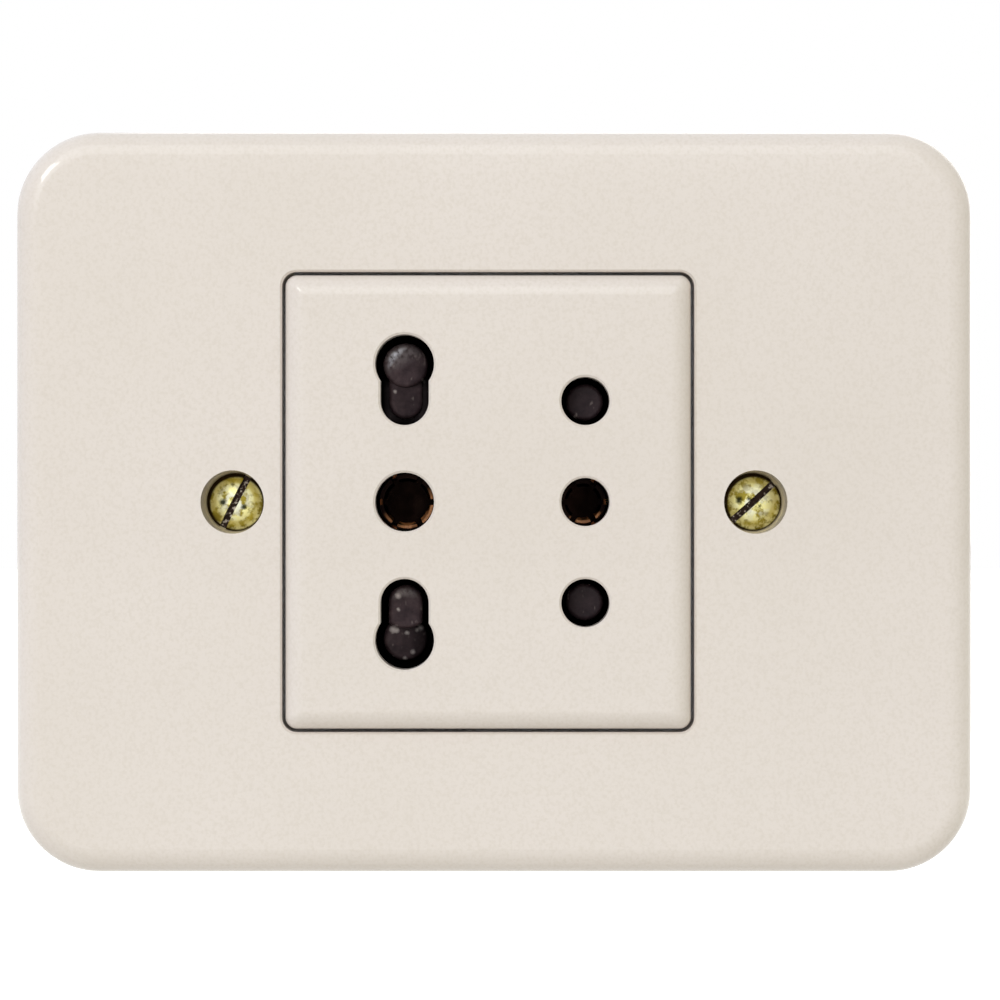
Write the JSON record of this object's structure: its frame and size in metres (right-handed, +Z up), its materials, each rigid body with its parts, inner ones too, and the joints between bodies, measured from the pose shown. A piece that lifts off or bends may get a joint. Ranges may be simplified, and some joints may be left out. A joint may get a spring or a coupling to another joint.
{
  "type": "modular wall socket",
  "caption": "Flush wall socket with a rounded ivory plate, a square insert with keyhole and round pin openings, sprung shutters and rear terminals.",
  "frame": {"origin": "on the wall plane, behind the middle of the plate", "axes": "+X right along the plate, +Y into the wall, +Z up; the front faces -Y"},
  "size_m": [0.091, 0.0335, 0.0706],
  "materials": {
    "ivory_plastic": "satin moulded ivory plastic",
    "dark_plastic": "fine matt moulded black plastic",
    "shutter_plastic": "glossy dark brown plastic",
    "yellow_zinc": "yellow passivated zinc on steel",
    "frame_steel": "bright zinc-plated pressed steel",
    "screw_steel": "zinc-plated steel",
    "spring_steel": "drawn spring steel wire",
    "contact_bronze": "copper-coloured phosphor bronze",
    "bar_brass": "plain brass"
  },
  "bodies": {
    "socket": {"wall_plate": "ivory_plastic", "socket_cover": "ivory_plastic", "plate_screw_left": "yellow_zinc", "plate_screw_right": "yellow_zinc", "mounting_frame": "frame_steel", "shutter_guide": "dark_plastic", "socket_base": "dark_plastic", "housing_screw_top": "screw_steel", "housing_screw_bottom": "screw_steel", "line_spring_16a": "spring_steel", "neutral_spring_16a": "spring_steel", "line_spring_10a": "spring_steel", "neutral_spring_10a": "spring_steel", "line_contact_16a": "contact_bronze", "earth_contact_16a": "contact_bronze", "neutral_contact_16a": "contact_bronze", "line_contact_10a": "contact_bronze", "earth_contact_10a": "contact_bronze", "neutral_contact_10a": "contact_bronze", "line_bar": "bar_brass", "earth_bar": "bar_brass", "neutral_bar": "bar_brass", "line_terminal": "bar_brass", "earth_terminal": "bar_brass", "neutral_terminal": "bar_brass", "line_terminal_screw": "screw_steel", "earth_terminal_screw": "screw_steel", "neutral_terminal_screw": "screw_steel"},
    "line_shutter_16a": {"line_shutter_16a": "shutter_plastic"},
    "neutral_shutter_16a": {"neutral_shutter_16a": "shutter_plastic"},
    "line_shutter_10a": {"line_shutter_10a": "shutter_plastic"},
    "neutral_shutter_10a": {"neutral_shutter_10a": "shutter_plastic"}
  },
  "joints": [
    {"name": "line_shutter_16a_slide", "type": "slide", "parent": "socket", "child": "line_shutter_16a", "axis": [-1, 0, 0], "range_m": [0, 0.0058], "stiffness_N_per_m": 40, "springref_m": -0.002, "deforming": ["line_spring_16a"]},
    {"name": "neutral_shutter_16a_slide", "type": "slide", "parent": "socket", "child": "neutral_shutter_16a", "axis": [-1, 0, 0], "range_m": [0, 0.0058], "stiffness_N_per_m": 40, "springref_m": -0.002, "deforming": ["neutral_spring_16a"]},
    {"name": "line_shutter_10a_slide", "type": "slide", "parent": "socket", "child": "line_shutter_10a", "axis": [1, 0, 0], "range_m": [0, 0.0048], "stiffness_N_per_m": 40, "springref_m": -0.002, "deforming": ["line_spring_10a"]},
    {"name": "neutral_shutter_10a_slide", "type": "slide", "parent": "socket", "child": "neutral_shutter_10a", "axis": [1, 0, 0], "range_m": [0, 0.0048], "stiffness_N_per_m": 40, "springref_m": -0.002, "deforming": ["neutral_spring_10a"]}
  ]
}
